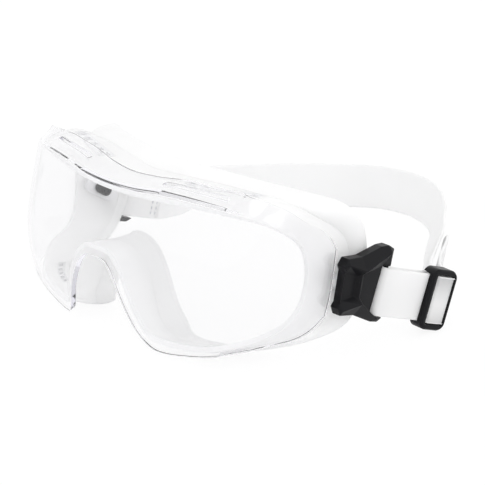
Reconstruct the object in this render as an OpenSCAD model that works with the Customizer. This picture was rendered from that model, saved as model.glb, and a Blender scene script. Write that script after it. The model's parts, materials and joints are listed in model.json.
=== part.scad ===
// Wide-vision protective goggles with a swivelling headband, lying on a table.
// Every part of the goggle itself is drawn in the goggle frame: X to the wearer's left,
// Y from the lens towards the face, Z up, with Z = 0 on the line through both pivots.
// The rest() module then tips the goggle back onto its cheeks and its headband.

/* [Goggle body] */
// Width across both temple wings of the lens
goggle_w = 151.5; // [130:0.5:180]
// Height from the cheek edge of the lens to its brow crease
goggle_h = 66.5; // [56:0.5:80]
// Distance from the lens to the rear of the temples
goggle_d = 77; // [66:0.5:90]
// Angle at which the goggle leans back on the table
rest_pitch = 11.1; // [6:0.1:16]

/* [Lens] */
// Thickness of the lens
lens_t = 2.2; // [1.6:0.1:2.8]
// Arc length at which the vent slot in the brow shelf starts
slot_from = 25; // [20:1:30]
// Arc length at which the vent slot in the brow shelf ends
slot_to = 57; // [50:1:62]
// Width of the vent slot
slot_w = 2; // [1.2:0.1:3]

/* [Frame and face seal] */
// Wall of the frame
frame_t = 2; // [1.4:0.1:2.6]
// Wall of the face seal at its neck
seal_t = 1.8; // [1.2:0.1:2.4]
// Gap left between pieces that are snapped or moulded together
seat_gap = 0.25; // [0.15:0.05:0.4]
// Width of a vent window, measured from front to back across the wall
vent_w = 0.3; // [0.2:0.02:0.4]

/* [Pivots] */
// Radius of the pivot pin
pin_r = 3; // [2:0.1:3.6]
// Radial running clearance of the buckle on its pin
pin_gap = 0.06; // [0.02:0.01:0.1]
// Length of the clip arm inside the temple
clip_len = 16; // [12:1:24]
// Angle at which the clip arm rises towards the lens
clip_rise = 22; // [0:1:30]

/* [Buckles] */
// Thickness of the buckle plate
buckle_t = 4.2; // [3.4:0.1:5]
// Height of the raised ridges above the buckle plate
ridge_h = 3.3; // [1.5:0.1:4]
// Radius of the bar that the headband loops round
bar_r = 1.1; // [0.8:0.05:1.5]

/* [Headband] */
// Width of the headband at the buckles and the adjuster
band_w = 20; // [16:0.5:21]
// Width of the headband at the back of the head
band_wide = 22; // [18:0.5:26]
// Thickness of the headband
band_t = 1.3; // [0.9:0.1:1.8]
// Slope of the headband below the pivot line
band_slope = 8.2; // [6:0.1:12]
// Yaw of the headband towards the head
band_yaw = -4; // [-6:0.5:6]
// Clearance of the headband at bars and slots
band_gap = 0.3; // [0.2:0.05:0.5]
// Length of the folded end that is stitched down
fold_len = 24; // [18:1:32]

/* [Slide adjuster] */
// Length of the adjuster along the headband
slide_len = 14.5; // [12:0.5:16]
// Height of each rail beside the headband
rail_w = 2.4; // [2:0.1:4]
// Thickness of the two outer bars
slide_bar_t = 1.6; // [1.2:0.1:2.2]
// Distance from the buckle bar to the middle of the adjuster
slide_at = 30.5; // [28:0.5:33]

/* [Hidden] */

// Share of the drawn outline that each overall size gives
kx = goggle_w / 151.5;
kz = goggle_h / 66.5;
ky = goggle_d / 77;

// Plan of the lens: a wide front arc, a tight bend and a straight wing
front_r = 150;
front_half = 60;
corner_r = 24;
wing_angle = 86;
front_angle = asin(front_half / front_r);
front_len = front_r * front_angle * PI / 180;
bend_len = corner_r * (wing_angle - front_angle) * PI / 180;
bend_x = front_half - corner_r * sin(front_angle);
bend_y = front_r - front_r * cos(front_angle) + corner_r * cos(front_angle);
wing_x = bend_x + corner_r * sin(wing_angle);
wing_y = bend_y - corner_r * cos(wing_angle);
// Sag of the lens above and below its most forward line
sag_z = -2;
sag_r_up = 320;
sag_r_down = 65;
lens_end = 114;
// Lens thickness beyond the 2.2 mm that the rings behind it are drawn for
lens_more = lens_t - 2.2;

// Lower edge of the lens, as [arc length, height]
lens_low = [
  [0, -6.5], [6, -7.2], [10.5, -11.5], [16, -21.5], [22, -32.3], [28, -38], [35, -38.8],
  [46, -37], [57, -34.5], [70, -30.4], [86, -26.6], [100, -24.6], [105, -23],
  [109.5, -20], [114, -14.5]
];
// Crease between the lens face and the brow shelf
lens_crease = [
  [0, 25.2], [16, 25.8], [31, 27.4], [50, 27.6], [65, 26.8], [77, 24.6], [89, 19.6],
  [99, 13.2], [106, 10], [114, 7.5]
];
// Rear rim of the brow shelf, running down into the wing, as [arc length, height, depth]
lens_rim = [
  [0, 28.5, 14], [16, 29.5, 14], [31, 31.3, 14], [45, 31.8, 13.5], [58, 32.2, 12],
  [67, 32.5, 7.5], [75, 32.2, 3.6], [82, 30.8, 1.6], [88, 28.8, 0.6], [93, 26.3, 0.2],
  [97, 24.3, 0], [104, 21.8, 0], [108, 19.6, 0], [111, 17.4, 0], [114, 13.5, 0]
];

// Half of each ring round the goggle, from the middle of the brow over the temple and
// the cheek to the middle of the nose. The front ring is [arc length, height] on the lens.
frame_front = [
  [0, 23.4], [20, 24.2], [45, 25.6], [66, 25], [84, 21.2], [97, 13.6], [101.5, 0],
  [98.5, -14], [86, -23.4], [60, -31.8], [41, -35.4], [28, -34.6], [22, -27], [17, -17],
  [13, -10], [7, -4.6], [0, -4]
];
frame_mid = [
  [0, 15, 26], [19.5, 17.5, 26.6], [42, 24, 28.8], [61.5, 31, 31], [69.6, 38, 27.2],
  [71.6, 57, 16], [72.6, 58.5, 0], [70.8, 57, -15.5], [66.6, 40, -23.6], [55.5, 28, -31],
  [41.8, 24, -34.8], [27.2, 21.5, -36], [20.9, 15.5, -28], [16.5, 12.5, -18.5],
  [12.4, 11, -10], [7, 9, -4.4], [0, 8.5, -3]
];
neck = [
  [0, 27, 29], [18, 30, 29.8], [39.5, 36, 30.2], [58, 41, 29.6], [68, 49, 26.6],
  [72, 66, 17], [73.6, 71, 0], [72, 65, -16.5], [66.4, 48, -25], [55, 34, -31],
  [42, 30.5, -34.8], [26.6, 28, -36.8], [20.6, 21.5, -29.5], [16.3, 20, -20.5],
  [12, 18.5, -10], [7, 15.5, -4.2], [0, 14.5, -2.4]
];
seal_mid = [
  [0, 30, 31.4], [18, 34.5, 32], [40, 41, 32.2], [59, 48, 31.8], [71.5, 55, 28.8],
  [74.4, 70, 18.8], [74.8, 74.5, 0], [74, 70, -17.4], [68, 56, -26.6], [55, 41.5, -33],
  [41.8, 36, -36.4], [26.8, 33, -37], [21.4, 27.5, -29.5], [17, 25, -20.8],
  [12.2, 23.5, -9.6], [7, 21, -2.8], [0, 20, -0.8]
];
seal_tip = [
  [0, 34.6, 34], [18, 40.5, 33.3], [40, 47.5, 33], [59.5, 57, 32.4], [72.5, 63.5, 30.6],
  [75, 74, 20.6], [74.6, 78.5, 0.6], [74, 74, -17.6], [67.4, 62, -26.2], [55, 48.5, -32.8],
  [42, 41.5, -35.8], [27, 37.5, -36.2], [22, 34, -29.5], [17.4, 31, -21], [12.2, 28.5, -9.2],
  [7, 26.5, -1.6], [0, 25.6, 0.6]
];
stations = 2 * (len(neck) - 1);

// Vent windows, as [first station, last station] of a ring, and where they lie across it
upper_vent = [1.25, 2.75];
lower_vent = [8.7, 9.7];
vent_mid = 0.62;
vent_low = vent_mid - vent_w / 2;
vent_high = vent_mid + vent_w / 2;
vent_proud = 0.2;
vent_depth = 1.6;
louvres = 5;
// Free edge round a vent in its window, across the wall and along the ring
window_edge = 0.006;
window_end = 0.02;

// Pivots
pivot = [0, 64.2, -0.6];
temple_x = kx * 75.6;
clip_t = 2;
clip_h = 6.4;
head_r = 4;
head_t = 1;
// Outer face of the temple wall at the pivot, and the clip arm a little inside the wall
wall_x = kx * 73.1 * (1 - lens_more / 75);
clip_x = wall_x - frame_t - 1.1 - clip_t;
pivot_y = ky * pivot.y;
pivot_z = kz * pivot.z;
buckle_x = temple_x + 1.4;

// Fold of the headband round a buckle bar
fold_r = bar_r + band_gap + band_t / 2;
bar_x = fold_r + band_t / 2 + 0.3;
bar_y = 18.6;
bar_z = -3.3;
bar_len = band_w + 1;
bar_end = 1.4;

// Row frame: the goggle leans back, stands on the table and is centred over the origin
floor_h = 43.617;
mid_x = 0.57;
mid_y = 101.53;
function to_row(p) = [
  p.x - mid_x,
  p.y * cos(rest_pitch) + p.z * sin(rest_pitch) - mid_y,
  -p.y * sin(rest_pitch) + p.z * cos(rest_pitch) + floor_h
];
module rest() {
  translate([-mid_x, -mid_y, floor_h]) rotate([-rest_pitch, 0, 0]) children();
}

// Route of the headband on the table from the adjuster round to the other buckle, as
// [x, y, height of its middle, lean of its top away from the head], with y counted back
// from the lens
band_route = [
  [79.5, 114.2, 12.5, 0], [76, 116.4, 12.2, 6], [70.5, 119.2, 11.8, 12], [64.5, 124.5, 11.4, 18],
  [57.5, 133.5, 11.1, 22], [50, 144.5, 10.8, 22], [41.5, 157, 10.6, 22],
  [31.5, 169, 10.6, 22], [22, 181, 10.7, 20], [12, 192, 11, 12], [1, 199.5, 11.1, 8],
  [-12, 203, 11.2, 3], [-24, 202, 11.2, 0], [-35, 197.5, 11.2, 0], [-50, 184, 11.3, 2],
  [-64.5, 166, 12, 4], [-75, 147, 13.2, 4], [-79.5, 130, 15.4, 2]
];
// Free tail behind the adjuster. It runs the other way, so its lean is negative.
tail_route = [
  [84.2, 115.6, 11.4, -5], [82.3, 118.8, 10.9, -7], [79, 120.9, 10.8, -10], [74.6, 122.5, 10.8, -13], [70.3, 125, 10.9, -18],
  [66.3, 129.8, 10.9, -21], [61.5, 136, 10.9, -22], [53.5, 149, 10.8, -22], [48, 156, 10.7, -22],
  [44.5, 159.3, 10.6, -20]
];

// --- Curves -------------------------------------------------------------------------

function unit(v) = v / norm(v);

// Rows are [position, values...]. A cubic runs through them with chord slopes.
function row_before(u, rows, i = 0) =
  (i >= len(rows) - 2 || u < rows[i + 1][0]) ? i : row_before(u, rows, i + 1);
function row_slope(rows, i) =
  let (a = rows[max(i - 1, 0)], b = rows[min(i + 1, len(rows) - 1)]) (b - a) / (b[0] - a[0]);
function smooth(u, rows) =
  let (
    i = row_before(u, rows),
    h = rows[i + 1][0] - rows[i][0],
    t = (u - rows[i][0]) / h
  )
  rows[i] * (2 * t * t * t - 3 * t * t + 1)
  + row_slope(rows, i) * h * (t * t * t - 2 * t * t + t)
  + rows[i + 1] * (3 * t * t - 2 * t * t * t)
  + row_slope(rows, i + 1) * h * (t * t * t - t * t);

// Rows that are even in their position, continued to the other side
function both_sides(rows) = concat(
  [for (i = [len(rows) - 1:-1:1]) concat([-rows[i][0]], [for (j = [1:len(rows[i]) - 1]) rows[i][j]])],
  rows
);

// Catmull-Rom curve through a list of points, open or closed
function spline_weights(t) = 0.5 * [
  -t + 2 * t * t - t * t * t,
  2 - 5 * t * t + 3 * t * t * t,
  t + 4 * t * t - 3 * t * t * t,
  -t * t + t * t * t
];
function spline_mix(a, b, c, d, t) =
  let (w = spline_weights(t)) a * w[0] + b * w[1] + c * w[2] + d * w[3];
function ring_at(u, ring) =
  let (n = len(ring), v = (u + n) % n, i = floor(v))
  spline_mix(ring[(i + n - 1) % n], ring[i], ring[(i + 1) % n], ring[(i + 2) % n], v - i);
function spline_at(u, pts) =
  let (n = len(pts), i = min(floor(u), n - 2))
  spline_mix(pts[max(i - 1, 0)], pts[i], pts[i + 1], pts[min(i + 2, n - 1)], u - i);

// --- Lens surface -------------------------------------------------------------------

low_rows = both_sides(lens_low);
crease_rows = both_sides(lens_crease);
rim_rows = both_sides(lens_rim);

// Plan point and outward normal at arc length s, as [x, y, normal x, normal y]
function plan_half(s) =
  s < front_len
    ? let (a = s / front_r * 180 / PI)
      [front_r * sin(a), front_r - front_r * cos(a), sin(a), -cos(a)]
    : s < front_len + bend_len
      ? let (a = front_angle + (s - front_len) / corner_r * 180 / PI)
        [bend_x + corner_r * sin(a), bend_y - corner_r * cos(a), sin(a), -cos(a)]
      : let (t = s - front_len - bend_len)
        [wing_x + t * cos(wing_angle), wing_y + t * sin(wing_angle), sin(wing_angle), -cos(wing_angle)];
function plan_at(s) =
  let (p = plan_half(abs(s)), side = s < 0 ? -1 : 1) [side * p[0], p[1], side * p[2], p[3]];

// Outer face of the lens at arc length s, height z and depth d behind the face
function lens_at(s, z, d = 0) =
  let (
    p = plan_at(s),
    r = z > sag_z ? sag_r_up : sag_r_down,
    sag = r - sqrt(r * r - (z - sag_z) * (z - sag_z)) + d
  )
  [kx * (p[0] - p[2] * sag), ky * (p[1] - p[3] * sag), kz * z];

// The same along the profile j: 0 at the lower edge, 1 at the crease, 2 at the rear rim
function lens_profile(s, j) =
  let (low = smooth(s, low_rows)[1], crease = smooth(s, crease_rows)[1], rim = smooth(s, rim_rows))
  j <= 1
    ? lens_at(s, low + (crease - low) * j)
    : lens_at(s, crease + (rim[1] - crease) * (j - 1), max(rim[2], 0) * (j - 1));
function lens_normal(s, j) =
  let (
    ds = lens_profile(min(s + 0.5, lens_end), j) - lens_profile(max(s - 0.5, -lens_end), j),
    dj = lens_profile(s, min(j + 0.04, 2)) - lens_profile(s, max(j - 0.04, 0))
  )
  unit(cross(ds, dj));
function lens_point(s, j, inward) = lens_profile(s, j) - lens_normal(s, j) * inward;

// Inner face of the lens, where the frame seats
function lens_seat(s, z) =
  let (
    p = lens_at(s, z),
    ds = lens_at(s + 0.5, z) - lens_at(s - 0.5, z),
    dz = lens_at(s, z + 0.5) - lens_at(s, z - 0.5)
  )
  p - unit(cross(ds, dz)) * (lens_t + seat_gap);

// --- Ring surfaces ------------------------------------------------------------------

function mirrored_half(half) = concat(
  half,
  [for (i = [len(half) - 2:-1:1]) [-half[i].x, half[i].y, half[i].z]]
);
// A thicker lens moves them back and in
function sized(half) =
  [for (p = half) [kx * p.x * (1 - lens_more / 75), ky * p.y + lens_more, kz * p.z * (1 - lens_more / 30)]];
front_ring = mirrored_half([for (p = frame_front) lens_seat(p[0], p[1])]);
mid_ring = mirrored_half(sized(frame_mid));
neck_ring = mirrored_half(sized(neck));
seal_mid_ring = mirrored_half(sized(seal_mid));
seal_tip_ring = mirrored_half(sized(seal_tip));

// A wall is three rings, and w runs across it from 0 at the front to 1 at the rear
frame_wall = [front_ring, mid_ring, neck_ring];
seal_wall = [neck_ring, seal_mid_ring, seal_tip_ring];
function wall_at(wall, u, w) =
  ring_at(u, wall[0]) * (1 - w) * (1 - 2 * w)
  + ring_at(u, wall[1]) * 4 * w * (1 - w)
  + ring_at(u, wall[2]) * w * (2 * w - 1);
function wall_normal(wall, u, w) =
  let (
    du = wall_at(wall, u + 0.05, w) - wall_at(wall, u - 0.05, w),
    dw = wall_at(wall, u, w + 0.02) - wall_at(wall, u, w - 0.02)
  )
  unit(cross(du, dw));
function wall_point(wall, u, w, inward) = wall_at(wall, u, w) - wall_normal(wall, u, w) * inward;

// --- Solids from grids of points ----------------------------------------------------

// Closed solid between two grids of rows x cols points, joined along their borders.
// With loop set, each row runs round and closes on itself.
module slab(front, back, loop = false) {
  rows = len(front);
  cols = len(front[0]);
  size = rows * cols;
  last = loop ? cols : cols - 1;
  function at(side, i, j) = side * size + i * cols + j % cols;
  points = concat([for (row = front) each row], [for (row = back) each row]);
  sheets = [
    for (i = [0:rows - 2], j = [0:last - 1], side = [0, 1])
      each side == 0
        ? [[at(0, i, j), at(0, i + 1, j), at(0, i + 1, j + 1)], [at(0, i, j), at(0, i + 1, j + 1), at(0, i, j + 1)]]
        : [[at(1, i, j), at(1, i + 1, j + 1), at(1, i + 1, j)], [at(1, i, j), at(1, i, j + 1), at(1, i + 1, j + 1)]]
  ];
  edges = [
    for (j = [0:last - 1], i = [0, rows - 1])
      each i == 0
        ? [[at(0, i, j), at(0, i, j + 1), at(1, i, j + 1)], [at(0, i, j), at(1, i, j + 1), at(1, i, j)]]
        : [[at(0, i, j + 1), at(0, i, j), at(1, i, j)], [at(0, i, j + 1), at(1, i, j), at(1, i, j + 1)]]
  ];
  ends = loop ? [] : [
    for (i = [0:rows - 2], j = [0, cols - 1])
      each j == 0
        ? [[at(0, i + 1, j), at(0, i, j), at(1, i, j)], [at(0, i + 1, j), at(1, i, j), at(1, i + 1, j)]]
        : [[at(0, i, j), at(0, i + 1, j), at(1, i + 1, j)], [at(0, i, j), at(1, i + 1, j), at(1, i, j)]]
  ];
  polyhedron(points = points, faces = concat(sheets, edges, ends), convexity = 8);
}

// Ring of wall, outer face to inner face, over the whole way round
module wall_ring(wall, thick_front, thick_rear, from, steps, rows) {
  function thick(w) = thick_front + (thick_rear - thick_front) * w;
  function grid(share) = [
    for (i = [0:rows])
      let (w = from + (1 - from) * i / rows)
      [for (j = [0:steps - 1]) wall_point(wall, j * stations / steps, w, thick(w) * share)]
  ];
  slab(grid(0), grid(1), loop = true);
}

// Patch of the frame wall between two stations, from inside to outside of its face
module wall_patch(span, low, high, outside, inside, steps = 10) {
  function grid(inward) = [
    for (w = [low, (low + high) / 2, high])
      [for (j = [0:steps]) wall_point(frame_wall, span[0] + (span[1] - span[0]) * j / steps, w, inward)]
  ];
  slab(grid(-outside), grid(inside));
}

// --- Lens, frame and seal -----------------------------------------------------------

module lens_slot() {
  depth = smooth(slot_from, rim_rows)[2];
  half = slot_w / depth / 2;
  function grid(inward) = [
    for (j = [1.55 - half, 1.55 + half])
      [for (i = [0:12]) lens_point(slot_from + (slot_to - slot_from) * i / 12, j, inward)]
  ];
  slab(grid(-1), grid(lens_t + 1));
}

module lens() {
  steps = 74;
  levels = concat([for (i = [0:9]) i / 9], [1.08, 1.2, 1.4, 1.6, 1.8, 2]);
  function grid(inward) = [
    for (j = [len(levels) - 1:-1:0])
      [for (i = [0:steps]) lens_point(lens_end * (2 * i / steps - 1), levels[j], inward)]
  ];
  color("lightcyan", 0.4)
    rest()
      difference() {
        slab(grid(0), grid(lens_t));
        lens_slot();
        mirror([1, 0, 0]) lens_slot();
      }
}

// Hole through the temple wall for the pivot pin
module pin_holes(r) {
  translate([-goggle_w / 2 - 3, pivot_y, pivot_z]) rotate([0, 90, 0]) cylinder(h = goggle_w + 6, r = r, $fn = 48);
}

// Round boss outside the temple wall that the buckle bears on
module temple_boss() {
  from = wall_x - 0.1;
  translate([from, pivot_y, pivot_z])
    rotate([0, 90, 0]) cylinder(h = temple_x + 1 - from, r = pin_r + 1.6, $fn = 48);
}

module vent_window(span) {
  wall_patch(
    [span[0] - window_end, span[1] + window_end],
    vent_low - window_edge, vent_high + window_edge, frame_t, 2 * frame_t
  );
}

module frame() {
  color("aliceblue", 0.7)
    rest()
      difference() {
        union() {
          wall_ring(frame_wall, frame_t, frame_t, 0.012, 128, 6);
          temple_boss();
          mirror([1, 0, 0]) temple_boss();
        }
        pin_holes(pin_r + 0.15);
        for (side = [0, 1])
          mirror([side, 0, 0]) {
            vent_window(upper_vent);
            vent_window(lower_vent);
          }
      }
}

module face_seal() {
  color("whitesmoke", 0.9)
    rest()
      wall_ring(seal_wall, seal_t, seal_t * 0.7, 0.05, 128, 6);
}

// --- Vents --------------------------------------------------------------------------

module vent(span) {
  step = (span[1] - span[0]) / louvres;
  difference() {
    wall_patch(span, vent_low, vent_high, vent_proud, vent_depth, 15);
    for (i = [0:louvres - 1])
      wall_patch(
        [span[0] + step * (i + 0.2), span[0] + step * (i + 0.8)],
        vent_mid - vent_w * 0.28, vent_mid + vent_w * 0.28, 1, 3, 3
      );
  }
}

module upper_vent_left() { color("aliceblue", 0.8) rest() vent(upper_vent); }
module upper_vent_right() { color("aliceblue", 0.8) rest() mirror([1, 0, 0]) vent(upper_vent); }
module lower_vent_left() { color("aliceblue", 0.8) rest() vent(lower_vent); }
module lower_vent_right() { color("aliceblue", 0.8) rest() mirror([1, 0, 0]) vent(lower_vent); }

// --- Pivots and buckles -------------------------------------------------------------

// Clip arm inside the temple with the pin that the buckle turns on
module pivot_clip() {
  translate([clip_x, pivot_y, pivot_z]) {
    rotate([0, 90, 0]) cylinder(h = buckle_x + buckle_t - clip_x, r = pin_r, $fn = 64);
    translate([buckle_x + buckle_t - head_t - clip_x, 0, 0])
      rotate([0, 90, 0]) cylinder(h = head_t, r = head_r, $fn = 64);
    rotate([-clip_rise, 0, 0])
      rotate([0, 90, 0])
        linear_extrude(clip_t)
          union() {
            circle(r = clip_h / 2, $fn = 48);
            translate([0, -clip_len + clip_h / 2]) circle(r = clip_h / 2, $fn = 48);
            translate([-clip_h / 2, -clip_len + clip_h / 2]) square([clip_h, clip_len - clip_h / 2]);
          }
  }
}
module pivot_clip_left() { color([0.15, 0.15, 0.17]) rest() pivot_clip(); }
module pivot_clip_right() { color([0.15, 0.15, 0.17]) rest() mirror([1, 0, 0]) pivot_clip(); }

// Upper half of the buckle outline, as [distance behind the pivot, height]
buckle_half = [
  [-4.6, 6.4], [-5.8, 8.4], [-4, 11.6], [4, 12], [14.6, 15.6], [18.6, 16], [22, 14.4], [22, 11]
];
rear_edge = 15;

// Stretches the buckle into its own plane: X outwards, Y back, Z up
module upright() { rotate([90, 0, 90]) children(); }

// Raised ridge from the middle of the buckle to a horn or a fin
module ridge(from, to, tip_h) {
  hull() {
    translate([buckle_t - 0.5, from[0], from[1]]) rotate([0, 90, 0]) cylinder(h = 0.5, r = 2.2, $fn = 16);
    translate([buckle_t - 0.5, to[0], to[1]]) rotate([0, 90, 0]) cylinder(h = 0.5, r = 1.7, $fn = 16);
    translate([buckle_t, from[0], from[1]]) rotate([0, 90, 0]) cylinder(h = ridge_h, r = 0.7, $fn = 16);
    translate([buckle_t, to[0], to[1]]) rotate([0, 90, 0]) cylinder(h = tip_h, r = 0.7, $fn = 16);
  }
}

module buckle() {
  lower_half = [for (i = [len(buckle_half) - 1:-1:0]) [buckle_half[i][0], -buckle_half[i][1]]];
  mouth = bar_len / 2;
  difference() {
    union() {
      upright() linear_extrude(buckle_t) polygon(concat(buckle_half, lower_half));
      for (side = [-1, 1]) {
        ridge([4.5, side * 6.8], [-4.4, side * 9.6], ridge_h * 0.45);
        ridge([4.5, side * 6.8], [18.6, side * 13.6], ridge_h * 0.7);
      }
      hull()
        for (z = [-5, 5])
          translate([buckle_t - 0.4, 5.4, z]) rotate([0, 90, 0]) cylinder(h = ridge_h * 0.6, r = 0.9, $fn = 16);
    }
    translate([-1, 0, 0]) rotate([0, 90, 0]) cylinder(h = buckle_t + 2, r = pin_r + pin_gap, $fn = 64);
    translate([buckle_t - head_t - 2 * pin_gap, 0, 0])
      rotate([0, 90, 0]) cylinder(h = head_t + 1, r = head_r + 3 * pin_gap, $fn = 64);
    translate([-1, bar_y, bar_z])
      rotate([-band_slope, 0, 0])
        translate([0, rear_edge - bar_y, -mouth]) cube([buckle_t + ridge_h + 2, 12, bar_len]);
  }
  translate([bar_x, bar_y, bar_z])
    rotate([-band_slope, 0, 0])
      translate([0, 0, -mouth - bar_end]) cylinder(h = bar_len + 2 * bar_end, r = bar_r, $fn = 32);
}
module place_buckle() { translate([buckle_x, pivot_y, pivot_z]) children(); }
module buckle_left() { color([0.17, 0.17, 0.19]) rest() place_buckle() buckle(); }
module buckle_right() { color([0.17, 0.17, 0.19]) rest() mirror([1, 0, 0]) place_buckle() buckle(); }

// --- Headband -----------------------------------------------------------------------

// Middle of a buckle bar, the way the band runs from it and the way its width points
function bar_at(side) =
  to_row([side * (buckle_x + bar_x), pivot_y + bar_y, pivot_z + bar_z]);
fall = rest_pitch + band_slope;
function band_dir(side) = [-side * sin(band_yaw) * cos(fall), cos(band_yaw) * cos(fall), -sin(fall)];
function level_up(dir) = unit([0, 0, 1] - dir * dir.z);
function band_up(side) = level_up(band_dir(side));
bar_up = [0, sin(fall), cos(fall)];
function band_out(side) = side * cross(band_dir(side), band_up(side));

// Layer of the band beside the bar, k = 1 outside and -1 inside, at a distance along it
function layer(side, k, along) = bar_at(side) + band_dir(side) * along + band_out(side) * k * fold_r;
function upright_at(p) = [p.x, p.y, p.z, 0];
// Half turn round the front of the bar, from one layer to the other
function bar_turn(side, k, steps) = [
  for (i = [1:steps - 1])
    let (a = 180 * i / steps)
    upright_at(bar_at(side) + fold_r * (band_out(side) * k * cos(a) - band_dir(side) * sin(a)))
];
function on_table(route) = [for (p = route) [p[0] * kx - mid_x, p[1] - mid_y, p[2], p[3]]];
function straight(side, k, stops) = [for (a = stops) upright_at(layer(side, k, a))];

// Free stretch from the near layer over the table to the far layer
free_pts = concat(
  straight(1, -1, [slide_at - slide_len, slide_at - 5, slide_at - 1, slide_at + 3]),
  on_table(band_route),
  straight(-1, 1, [fold_len + 6, fold_len])
);
tail_pts = concat(straight(1, 1, [slide_at - 4, slide_at + 1, slide_at + 4]), on_table(tail_route));
free_steps = 4;
function fine(pts) = [for (k = [0:1 / free_steps:len(pts) - 1]) spline_at(k, pts)];
free_line = fine(free_pts);
tail_line = fine(tail_pts);

// The whole band from the stitched end to the tail, as [x, y, z, lean to its left]
band_line = concat(
  straight(-1, -1, [fold_len - 3:-6:0]),
  bar_turn(-1, -1, 8),
  straight(-1, 1, [0:6:fold_len - 6]),
  [for (i = [len(free_line) - 1:-1:0]) free_line[i]],
  straight(1, -1, [slide_at - slide_len - 5:-5:0]),
  bar_turn(1, -1, 8),
  straight(1, 1, [0:6:slide_at - 6.5]),
  tail_line
);
count = len(band_line);
function xyz(p) = [p[0], p[1], p[2]];
function band_pt(i) = xyz(band_line[min(max(i, 0), count - 1)]);
function band_run(i) = unit(band_pt(i + 1) - band_pt(i - 1));
function near_bar(p) = min(norm(p - bar_at(1)), norm(p - bar_at(-1))) < fold_r + 3;

// Length of the band up to each of its points, and its width there: it widens towards
// the back of the head, and the tail ends in a half round
band_reach = [for (i = 0, d = 0; i < count; i = i + 1, d = d + norm(band_pt(i) - band_pt(i - 1))) d];
wide_from = 70;
wide_over = 60;
wide_end = 345;
function ramp(t) = let (c = min(max(t, 0), 1)) c * c * (3 - 2 * c);
function width_at(i) =
  let (
    d = band_reach[i],
    left = band_reach[count - 1] - d,
    body = band_w + (band_wide - band_w) * ramp((d - wide_from) / wide_over) * ramp((wide_end - d) / wide_over)
  )
  left < band_w / 2 ? body * (0.3 + 0.7 * sqrt(1 - pow(1 - left / (band_w / 2), 2))) : body;
function band_corner(i, across, through) =
  let (
    p = band_pt(i),
    dir = band_run(i),
    flat = near_bar(p) ? bar_up : level_up(dir),
    left = unit(cross(flat, dir)),
    lean = band_line[i][3],
    up = flat * cos(lean) + left * sin(lean)
  )
  p + up * across * width_at(i) / 2 + unit(cross(dir, up)) * through * band_t / 2;

module headband() {
  corners = [[-1, -1], [1, -1], [1, 1], [-1, 1]];
  points = [for (i = [0:count - 1], c = corners) band_corner(i, c[0], c[1])];
  sides = [
    for (i = [0:count - 2], j = [0:3])
      let (a = 4 * i + j, b = 4 * i + (j + 1) % 4)
      each [[a, b, b + 4], [a, b + 4, a + 4]]
  ];
  caps = [[3, 2, 1, 0], [for (j = [0:3]) 4 * (count - 1) + j]];
  color("gainsboro") polyhedron(points = points, faces = concat(sides, caps), convexity = 10);
}

// Two rows of stitches that hold the folded end, on the outer and the inner layer
module band_stitching() {
  stitch = 1.6;
  pitch = 2.4;
  rows_at = [fold_len - 8, fold_len - 5];
  per_row = 7;
  color("silver")
    for (along = rows_at, k = [-1, 1], i = [0:per_row - 1]) {
      lift = band_out(-1) * k * (band_t / 2 + 0.26);
      at = layer(-1, k, along) + lift + band_up(-1) * pitch * (i - (per_row - 1) / 2);
      translate(at) rotate([-fall, 0, 0]) translate([0, 0, -stitch / 2]) cylinder(h = stitch, r = 0.22, $fn = 16);
    }
}

// --- Slide adjuster -----------------------------------------------------------------

module slide_adjuster() {
  inside = band_w / 2 + 0.5;
  outside = inside + rail_w;
  bar_in = -fold_r + band_t / 2 + band_gap;
  bar_out = fold_r - band_t / 2 - band_gap;
  face_in = fold_r + band_t / 2 + band_gap;
  face_out = face_in + slide_bar_t;
  front_bar = 3;
  rear_bar = 1.4;
  centre_bar = 3.6;
  corner = 3;
  at = bar_at(1) + band_dir(1) * slide_at;
  color([0.17, 0.17, 0.19])
    translate(at)
      rotate([0, 0, band_yaw])
        rotate([-fall, 0, 0]) {
          difference() {
            translate([bar_in, 0, 0])
              upright()
                linear_extrude(face_out - bar_in)
                  difference() {
                    union() {
                      square([slide_len - 2 * corner, 2 * outside], center = true);
                      square([slide_len, 2 * outside - 2 * corner], center = true);
                      for (y = [-1, 1], z = [-1, 1])
                        translate([y * (slide_len / 2 - corner), z * (outside - corner)]) circle(r = corner, $fn = 40);
                    }
                    translate([front_bar - slide_len / 2, -inside]) square([slide_len - front_bar - rear_bar, 2 * inside]);
                  }
            translate([bar_in - 1, -slide_len, -inside]) cube([face_in - bar_in + 1, 2 * slide_len, 2 * inside]);
          }
          translate([bar_in, -centre_bar / 2, -inside - 1]) cube([bar_out - bar_in, centre_bar, 2 * inside + 2]);
        }
}

lens();
frame();
face_seal();
upper_vent_left();
upper_vent_right();
lower_vent_left();
lower_vent_right();
pivot_clip_left();
pivot_clip_right();
buckle_left();
buckle_right();
headband();
band_stitching();
slide_adjuster();
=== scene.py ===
"""Wide-vision protective goggles on a table: the looks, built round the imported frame."""
import json

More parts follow.
